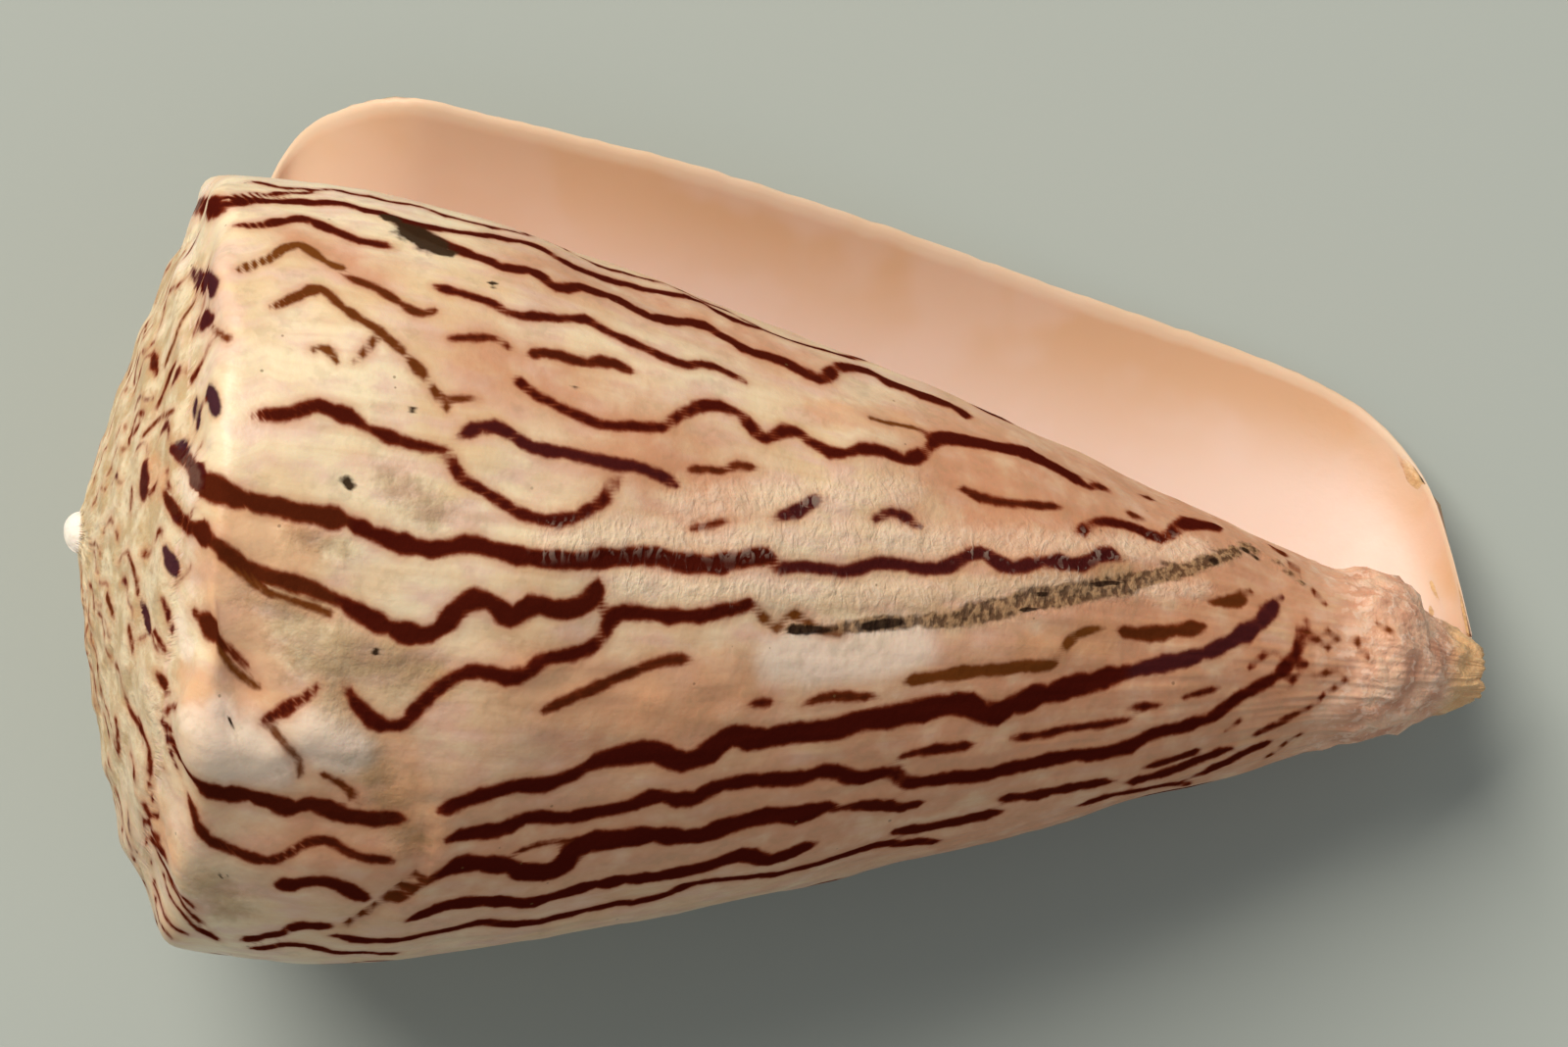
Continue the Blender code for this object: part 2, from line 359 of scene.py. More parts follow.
def roll_inside(column, row):
    height = wall_rows[row]
    angle = lip_cut(deep_angles[column], height)
    x, r, true = inner(angle, height)
    points = place(x, r, true)
    roof = place(*old_wall(deep_angles[column], np.full(len(x), float(ROOF))))
    end = place(*old_wall(deep_angles[column], np.maximum(height, ROOF)))
    points = np.where((row == 0)[:, None], roof, points)
    points = np.where((column == DEEP)[:, None], end, points)
    return points, true, x, height, np.radians(angle) * r


def roll_old_wall(column, row):
    height = np.linspace(ROOF, ROWS, BODY_ROWS)[row]
    x, r, true = old_wall(deep_angles[column], height)
    return place(x, r, true), true, x, height, np.full(len(x), 30.0)


def roll_lip(column, row):
    """Four faces across the lip's edge, rounded by a fifth of a millimetre."""
    height = wall_rows[row]
    angle = lip_cut(np.zeros(len(row)), height)
    x, r, true = outer(angle, height)
    out = place(x, r, true)
    inn = place(*inner(angle, height))
    onward = out - place(*outer(angle + 1.0, height))
    onward /= np.maximum(np.linalg.norm(onward, axis=1), 1e-9)[:, None]
    t = (column / 4.0)[:, None]
    points = out + t * (inn - out) + 0.2 * np.sin(np.pi * t) * onward
    seam = place(*outer(np.full(len(row), 360.0), JOIN + 0.5 * column))
    points = np.where((row == 0)[:, None], seam, points)
    return points, true, x, height, np.zeros(len(x))


last = int(round(MODELLED_WHORLS * COLUMNS))
count = add_sheet(COLUMNS, len(wall_rows) - 1, roll_body, 0.0)
count += add_sheet(last - COLUMNS, len(ramp_rows) - 1, roll_spire, 0.0)
count += add_sheet(DEEP, len(wall_rows) - 1, roll_inside, 1.0)
count += add_sheet(DEEP, BODY_ROWS - 1, roll_old_wall, 0.5)
count += add_sheet(4, len(wall_rows) - 1, roll_lip, 0.6)
print("points in the sheets:", count)

# %% [markdown]
# The larval shell is a smooth knob over the last open turn of the spire. Its first ring is that
# turn itself, and each further ring is lifted and drawn in like a line of latitude.

# %% Larval knob and front end
turn_angles = turned(last - COLUMNS + np.arange(COLUMNS))
ring_angle = np.concatenate([turn_angles, np.full(len(ramp_rows) - 1, turned(last))])
ring_row = np.concatenate([np.zeros(COLUMNS), ramp_rows[:-1]])
ring_angle = np.append(ring_angle, ring_angle[0])
ring_row = np.append(ring_row, ring_row[0])
ring_points = place(*outer(ring_angle, ring_row))


def roll_knob(column, row):
    start = ring_points[column]
    lift = knob_lifts[row]
    x = start[:, 0] + np.sin(lift) * (PROTOCONCH_TIP - start[:, 0])
    points = np.stack([x, np.cos(lift) * start[:, 1], np.cos(lift) * start[:, 2]], axis=1)
    return points, np.full(len(x), 2400.0), x, np.full(len(x), -2.0), np.full(len(x), NOT_LIP)


add_sheet(len(ring_angle) - 1, len(knob_lifts) - 1, roll_knob, 0.0)
bmesh.ops.remove_doubles(bm, verts=bm.verts, dist=0.002)
bmesh.ops.dissolve_degenerate(bm, dist=0.0005, edges=bm.edges)
open_edges = [e for e in bm.edges if e.is_boundary]
print("open edges before the front end is closed:", len(open_edges))
bmesh.ops.triangle_fill(bm, use_beauty=True, use_dissolve=False, edges=open_edges)
bmesh.ops.recalc_face_normals(bm, faces=bm.faces)
print("open edges after:", sum(e.is_boundary for e in bm.edges), "faces:", len(bm.faces))

# %% [markdown]
# ## Years on a beach
# Sand rubs off the high places first. The smooth operator moves each vertex towards the middle of
# its neighbours, which does the same: ten rounds on the old whorls, then twelve on everything
# from the last shoulder up.

# %% Rub down the spire
# each: from which growth angle, up to which row, and how many rounds
RUBS = ((390.0, 5.9, 10), (40.0, 9.5, 12))
for youngest, highest_row, rounds in RUBS:
    rubbed = [v for v in bm.verts if v[inside_layer] < 0.3 and v[growth_layer] > youngest
              and -1.0 < v[row_layer] < highest_row]
    for _ in range(rounds):
        bmesh.ops.smooth_vert(bm, verts=rubbed, factor=0.5,
                              use_axis_x=True, use_axis_y=True, use_axis_z=True)
    print("rubbed", len(rubbed), "points", rounds, "times")

# %% [markdown]
# ## The camera, in the shell's own axes
# The photograph looks almost straight down on the shell from a hand's height. The camera is worked
# out while the shell still lies along its axis, because the pattern is drawn through it.

# %% Camera numbers
FOCAL_PX = 4444.0
CAMERA_FAR = 181.4
VIEW_TILT = 11.0
VIEW_TURN = -6.02
FRAME_WIDTH = 1600.0
CENTRE_X, CENTRE_Y = 800.0, 534.0
TIP_X, TIP_Y = 80.0, 540.0
MEASURED_AT = 22.0
turn = Matrix.Rotation(math.radians(VIEW_TURN), 3, "Z")
view = turn @ Matrix.Rotation(math.radians(VIEW_TILT), 3, "Y")
depth = -(view @ Vector((MEASURED_AT, 0.0, 0.0))).z
reach = (CAMERA_FAR - depth) / FOCAL_PX
shift = Vector(((TIP_X - CENTRE_X) * reach, (CENTRE_Y - TIP_Y) * reach, depth))
eye = view.transposed() @ (Vector((0.0, 0.0, CAMERA_FAR)) - shift)
tree = BVHTree.FromBMesh(bm)


def on_shell(px, py):
    """The place in millimetres where a point of the frame falls on the shell, and how square on."""
    ray = Vector(((px - CENTRE_X) / FOCAL_PX, (CENTRE_Y - py) / FOCAL_PX, -1.0)).normalized()
    ray = view.transposed() @ ray
    hit, normal = tree.ray_cast(eye, ray)[:2]
    return (None, 1.0) if hit is None else (hit, abs(normal.dot(ray)))


print("camera stands off by", round((eye - Vector((30.0, 0.0, 0.0))).length), "mm")

# %% [markdown]
# ## Drawing the brown lines
# The lines are pigment laid down at the lip, so they run from the shoulder to the front end and
# wander. Those that face up are drawn as strokes across the picture frame, 1600 by 1068.
# Each stroke is thrown from the camera onto the shell, where it becomes a real curve on it.

# %% Strokes across the frame
# width in frame units, tone from -1 plum through 0 maroon to 1 rust, then x, y of each point
STROKES = [
    (5, 0.0, 257,187, 296,192, 343,196, 393,205, 439,216, 493,229, 560,246, 614,271, 646,281,
     686,294, 740,316, 800,342),
    (8, 0.0, 202,211, 257,205, 307,204, 357,209, 393,220, 429,229, 486,237, 543,249, 586,271,
     650,289, 714,308, 743,324, 779,335, 829,353, 882,369, 918,381, 960,397, 1012,427, 1065,442),
    (9, 0.1, 400,222, 440,240, 489,262, 514,274, 543,278, 568,294, 593,294, 629,303, 664,321,
     711,326, 739,339, 764,355, 793,364, 814,374, 836,387, 854,376, 882,378, 907,392, 936,403,
     989,425), (7, 0.0, 184,234, 200,220, 229,215), (8, -0.3, 199,212, 222,206),
    (5, 0.0, 210,205, 262,197, 320,197),
    (8, 0.1, 241,230, 271,229, 307,222, 332,230, 364,243, 400,250),
    (7, 0.9, 245,275, 271,266, 296,252, 311,252, 332,266, 350,274),
    (9, 0.4, 354,282, 386,296, 414,314, 429,321, 443,318),
    (9, 0.6, 279,314, 300,305, 327,296, 348,314, 375,332, 404,354, 429,379, 457,417),
    (8, 0.7, 364,370, 371,361, 382,346), (7, 0.5, 457,406, 486,405),
    (4, 0.8, 320,359, 332,357, 343,371),
    (9, 0.1, 443,294, 479,303, 507,314, 525,322, 557,324, 596,326, 621,339, 657,356, 696,372,
     721,371, 743,378, 761,389), (8, 0.2, 459,347, 500,344, 520,354),
    (11, 0.2, 540,362, 561,358, 593,367, 621,369, 646,380),
    (12, 0.0, 525,383, 550,403, 579,417, 614,433, 643,435, 675,437, 696,422, 725,412, 754,421,
     779,447, 804,437, 829,451, 850,464, 879,460, 900,461, 922,469, 943,462, 958,447, 989,451,
     1043,462, 1079,478, 1110,496), (8, 0.2, 1114,489, 1132,500),
    (15, -0.3, 470,444, 496,433, 518,440, 543,455, 579,462, 611,471, 650,478, 671,485, 693,496),
    (17, 0.1, 260,425, 286,425, 321,416, 350,423, 375,437), (14, 0.1, 375,437, 411,450, 457,459),
    (15, -0.1, 457,459, 471,485, 504,506, 532,524, 568,531, 600,521, 621,503, 625,481),
    (8, 0.3, 700,481, 714,476, 739,480, 757,472, 775,481), (15, -0.3, 175,457, 196,471, 214,496),
    (22, 0.25, 214,496, 250,511, 286,518, 321,525, 357,532),
    (21, 0.05, 357,532, 386,546, 436,560, 482,555, 518,564, 561,571, 614,571, 664,567, 704,576,
     743,574, 779,567, 793,581),
    (15, -0.3, 793,581, 829,578, 864,583, 900,574, 962,579, 998,563, 1029,579, 1065,574, 1101,576,
     1128,565, 1143,570), (13, 0.2, 168,504, 189,532, 215,550),
    (19, 0.3, 215,552, 257,582, 304,596, 345,612), (8, 0.7, 228,566, 262,598, 300,612, 336,626),
    (22, 0.1, 345,612, 393,639, 429,648, 454,639, 461,628, 479,612, 500,614, 525,631, 543,617,
     571,622, 600,615, 614,592), (11, 0.25, 193,621, 214,650, 238,668, 252,684),
    (6, 0.8, 222,662, 246,692, 262,704), (13, 0.1, 268,735, 304,715, 325,699),
    (17, 0.05, 354,704, 371,726, 386,738, 411,740, 429,721, 464,692, 493,685, 525,692, 554,674,
     600,664, 618,646, 629,626, 661,626, 696,630, 732,624, 768,615),
    (9, 0.85, 768,616, 775,628, 793,642, 811,626, 836,642, 864,646),
    (12, 0.3, 554,726, 579,714, 614,699, 650,685, 686,671, 704,674),
    (18, 0.0, 450,826, 489,811, 525,801, 561,801, 600,783),
    (24, 0.0, 600,783, 629,772, 664,767, 696,776, 721,769, 743,751, 775,754, 811,747, 846,744,
     882,733, 918,729, 960,720, 989,719, 1012,730, 1043,717, 1087,704, 1150,686),
    (17, -0.4, 1150,686, 1212,672, 1257,654, 1288,632, 1308,608),
    (9, 0.0, 168,735, 179,761, 200,794),
    (18, 0.15, 200,794, 221,808, 257,811, 296,824, 321,820, 357,833, 411,836),
    (16, 0.0, 457,854, 518,845, 536,836, 586,835, 632,826, 664,813, 704,815, 732,802, 779,795,
     814,795, 846,785, 875,794, 914,786),
    (15, 0.0, 914,786, 927,800, 954,795, 1012,788, 1079,775, 1141,766, 1177,748, 1230,735,
     1270,708, 1302,690, 1324,663, 1331,632),
    (11, 0.2, 192,812, 196,826, 202,842, 221,861, 275,879, 311,860, 336,858, 364,872, 400,877),
    (18, 0.0, 446,890, 479,879, 518,883, 543,890, 571,886, 589,865, 621,858, 664,852, 704,854,
     739,844, 779,833, 821,829, 846,822), (12, 0.1, 861,824, 900,822, 921,826, 943,819),
    (5, 0.3, 529,869, 554,861, 582,861), (13, 0.1, 284,904, 307,899, 339,899, 375,917),
    (7, 0.4, 400,919, 443,890), (8, 0.1, 250,958, 286,952, 307,944, 336,945),
    (7, 0.1, 257,965, 304,963, 339,970, 404,974),
    (12, 0.0, 418,936, 457,922, 496,919, 543,920, 586,908, 629,901, 671,895, 711,886, 757,870,
     786,874, 829,858),
    (8, 0.0, 339,954, 393,960, 457,951, 496,944, 543,942, 593,931, 650,922, 679,915, 711,901,
     757,894, 800,888, 846,877, 893,865, 960,858),
    (6, 0.0, 150,824, 160,862, 168,899, 182,926, 196,943, 222,958),
    (6, 0.0, 156,902, 162,936, 174,956), (6, 0.0, 170,894, 182,912, 198,926),
    (5, 0.0, 146,836, 153,880, 160,912, 172,940, 190,954),
    (5, 0.1, 152,800, 160,838, 166,878, 186,922, 206,942),
    (5, 0.0, 170,712, 176,742, 190,780, 205,800), (7, 0.2, 707,539, 743,531),
    (14, -0.4, 789,531, 814,520, 839,506), (11, -0.3, 889,531, 911,522, 943,537),
    (4, 0.8, 887,428, 936,437), (11, 0.1, 761,722, 779,713, 789,719),
    (11, 0.3, 821,719, 843,711, 893,710), (12, 0.7, 922,695, 967,688, 1020,683, 1079,677),
    (9, 0.9, 1076,674, 1096,650, 1119,641), (11, 0.1, 918,772, 945,764, 994,759),
    (9, 0.1, 911,851, 960,844, 1020,828), (9, 0.2, 978,496, 1003,507, 1034,514, 1083,517),
    (10, 0.0, 1096,547, 1119,532, 1150,534, 1186,547, 1208,534, 1244,538),
    (14, 0.4, 1141,642, 1168,647, 1230,639), (12, 0.5, 1236,614, 1262,612, 1276,602),
    (9, 0.1, 1034,755, 1079,748, 1150,735), (10, 0.1, 1156,721, 1181,719),
    (8, 0.1, 1204,712, 1244,701), (8, 0.1, 1275,681, 1297,663),
    (9, 0.1, 1020,817, 1087,804, 1132,797), (8, 0.1, 1168,782, 1226,766),
    (9, 0.1, 1150,797, 1204,784, 1257,764), (8, 0.1, 1221,793, 1297,757),
    (8, 0.1, 1277,753, 1320,728), (6, 0.2, 1253,746, 1268,735), (8, 0.1, 1311,706, 1333,677),
    (8, 0.1, 1337,721, 1351,708), (7, 0.1, 1100,820, 1160,806, 1215,800),
    (6, 0.4, 1335,645, 1355,661), (6, 0.5, 1384,652, 1395,670), (5, 0.6, 1408,634, 1420,646),
    (6, 0.3, 1296,556, 1312,566), (5, 0.3, 1340,600, 1352,616), (5, 0.5, 1352,640, 1364,652),
    (5, 0.4, 1345,690, 1360,682), (5, 0.4, 1362,702, 1374,692), (5, 0.3, 1306,740, 1330,724),
    (4, 0.4, 1290,775, 1330,750), (5, 0.3, 1190,812, 1250,796), (6, 0.4, 1316,570, 1324,586),
    (6, 0.2, 1232,536, 1243,543), (5, 0.3, 1165,503, 1180,508), (6, 0.3, 1150,521, 1166,528),
    (6, -0.2, 1469,603, 1471,625), (9, -0.2, 450,121, 454,123), (5, 0.5, 1413,440, 1422,447),
    (15, -0.6, 195,277, 204,284, 218,294), (12, -0.4, 202,327, 216,327),
    (10, -0.2, 150,316, 155,308), (5, 0.2, 172,268, 160,290, 152,312),
    (3, 0.6, 200,306, 186,326, 176,350, 168,372), (3, 0.5, 212,330, 224,340, 234,346),
    (4, 0.4, 176,420, 160,428, 146,444), (3, 0.4, 150,330, 144,352, 138,372),
    (12, 0.1, 156,360, 160,380), (12, -0.2, 176,392, 184,376), (15, -1.0, 198,410, 203,432),
    (15, -1.0, 211,400, 220,420), (14, -1.0, 183,452, 194,458), (9, 0.0, 137,441, 142,433),
    (19, -0.3, 150,474, 146,505), (9, -0.3, 169,503, 184,535), (17, -0.8, 168,560, 180,584),
    (5, 0.3, 131,565, 137,583, 141,605), (17, -0.7, 145,616, 152,642), (9, -0.2, 167,613, 178,648),
    (7, 0.1, 157,645, 170,665), (6, 0.4, 109,605, 115,628), (6, 0.3, 131,640, 135,665),
    (11, 0.2, 161,688, 174,706), (8, 0.1, 130,720, 150,760, 155,800),
    (8, -0.3, 165,735, 172,760, 182,784), (7, 0.2, 119,735, 122,770),
    (8, 0.1, 147,820, 160,868, 178,905), (7, 0.2, 136,500, 133,520),
    (3, 0.7, 276,739, 303,770, 307,789), (8, 0.5, 330,789, 356,805, 362,818),
    (4, 0.5, 352,946, 388,922, 424,892),
]
print("strokes drawn by hand:", len(STROKES))

# %% [markdown]
# A smooth curve is run through each stroke and cut into points. A line on the shell's flank looks
# thinner than it is, so its width is divided by how square on the camera sees it there. Rust lines
# have a fainter edge, so they get a little more width.

# %% Throw the strokes onto the shell
def curve_through(points, gap):
    """Evenly spaced points on a smooth curve through the given ones."""
    pts = np.array(points, float).reshape(-1, 2)
    if len(pts) == 1:
        return pts
    pts = np.vstack([2 * pts[0] - pts[1], pts, 2 * pts[-1] - pts[-2]])
    found = []
    for a, b, c, d in zip(pts, pts[1:], pts[2:], pts[3:]):
        n = max(int(np.linalg.norm(c - b) / gap), 1)
        for t in np.arange(n) / n:
            found.append(0.5 * (2 * b + (c - a) * t + (2 * a - 5 * b + 4 * c - d) * t * t
                                + (3 * b - a - 3 * c + d) * t ** 3))
    return np.array(found + [pts[-2]])


STEP = 2.0
PX_PER_MM = 25.0
THINNEST = 0.16
SHOULDER_PX = 205
drawn = []
for number, (width, tone, *points) in enumerate(STROKES):
    path = curve_through(points, STEP)
    for k, (px, py) in enumerate(path):
        wander = 1.6 * field(0.045 * px, 0.045 * py, number)
        spot, square_on = on_shell(px, py + wander)
        if spot is None:
            continue
        near_end = min(k, len(path) - 1 - k) * STEP
        taper = 0.55 + 0.45 * min(near_end / (0.8 * width), 1.0)
        uneven = 1.0 + 0.5 * field(0.12 * k, number)
        flattest = 0.7 if px < SHOULDER_PX else 0.4
        half = (0.44 + 0.10 * max(tone, 0.0)) * width * taper * uneven
        half = half / PX_PER_MM / max(square_on, flattest)
        drawn.append((spot, max(half, THINNEST), tone))
print("points along the drawn lines:", len(drawn))

# %% [markdown]
# The side that faces the table has the same kind of lines. They follow the growth direction, wander
# with a seeded noise, and break off now and then. On the spire each whorl has shorter streaks,
# most of them across its ramp.

# %% Lines on the hidden side, and streaks on the spire
def on_outside(growth, along):
    """A place on the outside, at a true growth angle and a distance along."""
    share = np.clip((along - 7.0) / 53.0, 0.0, 1.0)
    plain = growth - front_draw(share)
    flare = np.where(plain < FLARE_ENDS, spread(np.maximum(plain, 0.0), along), 0.0)
    return place(along, side_radius(growth, along) + flare, growth)


grown = []
SEEN_FROM, SEEN_TO = 158.0, 328.0
BREAK_BELOW = -0.3
for number, start in enumerate(np.arange(3.0, 362.0, 9.0)):
    if SEEN_FROM < start < SEEN_TO:
        continue
    along = np.arange(6.5, 53.0, 0.09)
    wave = np.array([field(0.16 * a, 4.0 * number) * 5.0
                     + field(0.7 * a, 4.0 * number, 9.0) * 3.4 for a in along])
    there = np.array([field(0.13 * a, 2.3 * number, 20.0) for a in along])
    bold = 0.34 + 0.22 * field(number, 0.5, 30.0)
    angles = start + wave * (0.6 + 0.02 * along) + 10.0 * smooth((9.0 - along) / 5.0)
    stops = 49.0 + 6.5 * field(1.3 * number, 2.5, 40.0)
    keep = (there > BREAK_BELOW) & (angles > 1.0) & (along < stops)
    keep &= (angles < SEEN_FROM) | (angles > SEEN_TO)
    for spot, t, a, k in zip(on_outside(angles, along), there, along, keep):
        if k:
            thin = min(1.0, (t - BREAK_BELOW) * 5.0, (stops - a) * 0.6)
            grown.append((Vector(spot), bold * float(thin) * 0.75 + 0.03, 0.1))
print("points along the grown lines:", len(grown))

STREAKS_PER_WHORL = 36
streaks = []
for number in range(int((MODELLED_WHORLS - 1.0) * STREAKS_PER_WHORL)):
    start = 20.0 + number * 360.0 / STREAKS_PER_WHORL + 7.0 * field(number * 0.9, 1.5)
    chance = field(number * 1.7, 8.5)
    if chance < -0.15:
        continue
    drawn_side = SEEN_FROM < start + NOTCH_ANGLE < SEEN_TO
    rows = np.arange(0.3 + 2.0 * max(chance, 0.0), 2.4 if drawn_side else 5.9, 0.07)
    lean = start + 6.0 * np.array([field(0.35 * s, number, 3.0) for s in rows])
    x, r, true = outer(lean, rows)
    share = float(size(np.array([start]))[0])
    for p, s in zip(place(x, r, true), rows):
        swell = field(0.8 * s, number * 3.3, 6.0) + 0.22
        if swell > 0.0:
            streaks.append((Vector(p), 0.34 * share * swell + 0.05, 0.3 - 1.4 * chance))
print("points along the spire's streaks:", len(streaks))

# %% [markdown]
# Each vertex then stores how far it is from the nearest line's edge, and that line's tone. The
# material turns the distance into a crisp line, so it stays sharp however close the camera comes.

# %% Distance to the nearest line
marks = drawn + grown + streaks
mark_tree = kdtree.KDTree(len(marks))
for index, mark in enumerate(marks):
    mark_tree.insert(mark[0], index)
mark_tree.balance()
NEAREST_MARKS = 8
FAR_AWAY = 3.0
line_layer = bm.verts.layers.float.new("line")
tone_layer = bm.verts.layers.float.new("tone")
for v in bm.verts:
    best, tone = FAR_AWAY, 0.0
    if v[inside_layer] < 0.3:
        for spot, number, far in mark_tree.find_n(v.co, NEAREST_MARKS):
            if far - marks[number][1] < best:
                best, tone = far - marks[number][1], marks[number][2]
    v[line_layer] = best
    v[tone_layer] = tone
covered = sum(v[line_layer] < 0.0 for v in bm.verts) / len(bm.verts)
print("share of the shell that is line:", round(covered, 3))

# %% [markdown]
# ## Wear, stain, painted shade and a painted highlight
# A shell that has rolled on a beach is chalky where its gloss is gone, grey-green where something
# grew on it, and orange where a deeper layer shows. Soft strokes, each with its radius in
# millimetres, say where these lie in the picture.

# %% Soft strokes of wear, painted shade and painted highlight
# each: radius in millimetres, then x, y of each point in the frame
WEAR_AND_PAINTED_LIGHT = {
    "chalk": [
        (0.8, 560,552, 640,545, 740,552, 860,545, 980,552, 1100,556, 1220,558),
        (0.7, 640,592, 720,598, 800,600, 900,606, 1000,602, 1100,590),
        (0.8, 700,515, 760,508, 880,502, 930,498), (0.7, 150,700, 165,740), (0.5, 165,335, 185,350),
        (0.5, 1130,600, 1230,600),
    ],
    # pale pearly patches, partly a painted highlight on the shoulder corner and the bumps
    "pale_and_highlight": [
        (1.5, 235,765, 278,766), (1.2, 322,748, 348,764), (1.1, 205,210, 192,240, 190,262),
        (0.9, 198,478, 202,498), (1.2, 800,668, 860,666, 930,660), (0.6, 183,640, 190,660),
        (0.7, 205,735, 222,726),
    ],
    "orange": [
        (1.5, 205,580, 225,620, 250,670, 262,695), (1.0, 190,690, 215,712),
        (0.7, 1050,663, 1100,652, 1130,655), (1.6, 540,690, 650,715, 740,700),
        (0.8, 158,480, 165,495), (0.9, 405,765, 420,820, 440,850), (1.2, 160,830, 170,860),
        (0.9, 840,420, 920,430), (1.2, 250,540, 300,560),
    ],
    "green": [
        (1.0, 345,655, 400,680, 440,690), (0.7, 300,650, 340,690, 350,730), (1.1, 215,905, 235,930),
        (0.9, 296,640, 345,694), (0.8, 262,606, 320,636), (0.8, 370,770, 390,810, 420,860),
        (0.5, 300,545, 350,560), (0.8, 400,490, 440,520), (0.6, 335,720, 345,700),
        (0.6, 850,614, 940,612, 1040,592, 1150,578),
    ],
    "grey": [
        (0.2, 810,641, 850,642), (0.3, 850,641, 930,634, 990,633),
        (0.46, 990,628, 1040,615, 1090,606, 1150,597), (0.34, 1150,595, 1212,579, 1235,570),
        (0.38, 1245,566, 1275,560), (0.26, 1300,572, 1325,592), (0.18, 1192,574, 1200,588),
    ],
    "core": [
        (0.2, 812,642, 850,643, 880,640, 930,633, 962,634, 990,632),
        (0.1, 990,632, 1024,626, 1060,620), (0.1, 1062,606, 1110,598, 1160,590),
        (0.22, 1236,572, 1254,562, 1276,560), (0.12, 1255,590, 1268,580),
    ],
    "dirt": [
        (0.42, 398,223, 414,232), (0.85, 424,238, 438,246), (0.42, 444,250, 455,255),
        (0.22, 352,490, 358,494), (0.15, 232,735), (0.16, 503,290, 506,296),
        (0.14, 590,395, 592,400), (0.16, 385,665), (0.12, 420,418), (0.18, 228,896),
        (0.12, 450,122), (0.1, 522,288), (0.12, 437,338), (0.18, 1272,562, 1280,568),
    ],
    # rose tint; the wide strokes along the lower flank are painted shade
    "rose_and_low_shade": [
        (7.0, 500,880, 700,850, 900,820, 1100,780, 1250,720), (4.0, 330,850, 420,880),
        (4.0, 1000,480, 1100,520, 1250,560, 1350,620), (2.5, 560,275, 680,310, 800,360),
        (2.0, 500,370, 570,395), (3.0, 640,450, 720,500), (3.0, 600,750, 750,730),
        (1.0, 300,240, 380,275),
    ],
}
coords = np.array([v.co[:] for v in bm.verts])
visible = np.array([v[inside_layer] < 0.3 for v in bm.verts])
zones = {}
for name, strokes in WEAR_AND_PAINTED_LIGHT.items():
    values = np.zeros(len(coords))
    for radius, *points in strokes:
        found = [on_shell(px, py)[0] for px, py in curve_through(points, 12.0)]
        for spot in [f for f in found if f is not None]:
            far = np.linalg.norm(coords - np.array(spot), axis=1)
            values = np.maximum(values, np.exp(-0.7 * (far / radius) ** 2))
    layer = bm.verts.layers.float.new(name)
    zones[name] = values * visible
    for v, value in zip(bm.verts, zones[name]):
        v[layer] = value
    print(name, "covers", round(float((values > 0.5).mean()), 3))

# %% [markdown]
# ## Relief that stands out from a step away
# Growth leaves folds parallel to the lip, a break that healed left a groove with swollen ground
# beside it, and wear made hollows. They are pushed along the normals as real geometry, a tenth to
# half a millimetre, so they catch the light and also stay in the exported mesh.

# %% Relief
# each: height and radius in millimetres, then x, y of each point
RELIEF = [
    (0.55, 1.5, 228,758, 272,766), (0.45, 1.1, 322,742, 346,760),
    (-0.45, 1.4, 205,585, 225,630, 252,690),
    (-0.2, 0.3, 436,822, 430,860, 421,890, 386,922, 354,944),
    (0.16, 0.55, 452,835, 446,880, 410,935), (-0.16, 0.28, 276,739, 303,770, 307,789),
    (-0.12, 0.22, 265,791, 303,770, 326,770), (-0.3, 0.3, 232,735), (0.3, 1.2, 198,490, 205,505),
    (0.24, 1.1, 200,228), (0.18, 2.2, 300,395, 340,380), (-0.16, 1.6, 400,690, 430,760),
    (-0.2, 0.24, 354,492), (-0.12, 0.5, 430,240), (0.14, 1.6, 240,455, 300,470),
    (-0.14, 0.9, 215,400, 225,430), (0.2, 1.2, 205,700, 190,715), (0.14, 0.8, 345,655, 420,670),
    (-0.08, 0.4, 990,628, 1090,606, 1200,582),
]
lift = np.zeros(len(coords))
for height, radius, *points in RELIEF:
    share = np.zeros(len(coords))
    for px, py in curve_through(points, 6.0):
        spot = on_shell(px, py)[0]
        if spot is not None:
            far = np.linalg.norm(coords - np.array(spot), axis=1)
            share = np.maximum(share, np.exp(-((far / radius) ** 2)))
    lift += height * share * visible
bm.normal_update()
for v, drawn_lift, crusted in zip(bm.verts, lift, np.maximum(zones["orange"], zones["green"])):
    growth, along, row = v[growth_layer], v[along_layer], v[row_layer]
    if v[inside_layer] > 0.3 or row < -1.0:
        continue
    here = Vector((0.055 * growth, 0.05 * along, 0.0))
    folds = 0.075 * noise.noise(here * 2.2) + 0.04 * noise.noise(here * 7.0)
    broad = 0.22 * noise.noise(v.co * 0.22) + 0.05 * noise.noise(v.co * 0.8)
    broad *= float(smooth((row - 5.0) / 4.0))
    crumble = 0.16 * crusted * noise.noise(v.co * 1.1)
    front = float(smooth((along - 51.5) / 3.0))
    cords = 0.7 * field(1.15 * along + 0.05 * growth, 0.03 * growth, 5.0)
    cords += 0.9 * noise.noise(v.co * 0.9) + 0.3 * noise.noise(v.co * 2.2)
    worn = 0.08 * noise.noise(v.co * 0.6) + 0.02 * noise.noise(v.co * 1.9)
    worn *= float(smooth((5.4 - row) / 2.0))
    v.co += v.normal * (folds + broad + crumble + 0.34 * front * cords + worn + drawn_lift)
print("highest and lowest drawn relief:", round(float(lift.max()), 2), round(float(lift.min()), 2))

# %% [markdown]
# ## Lying down
# The shell was built round its axis, and rests on its side: a tilt, a small roll, and a little worn
# off where it touches. The camera is laid down with it, so it keeps its view of the shell exactly.

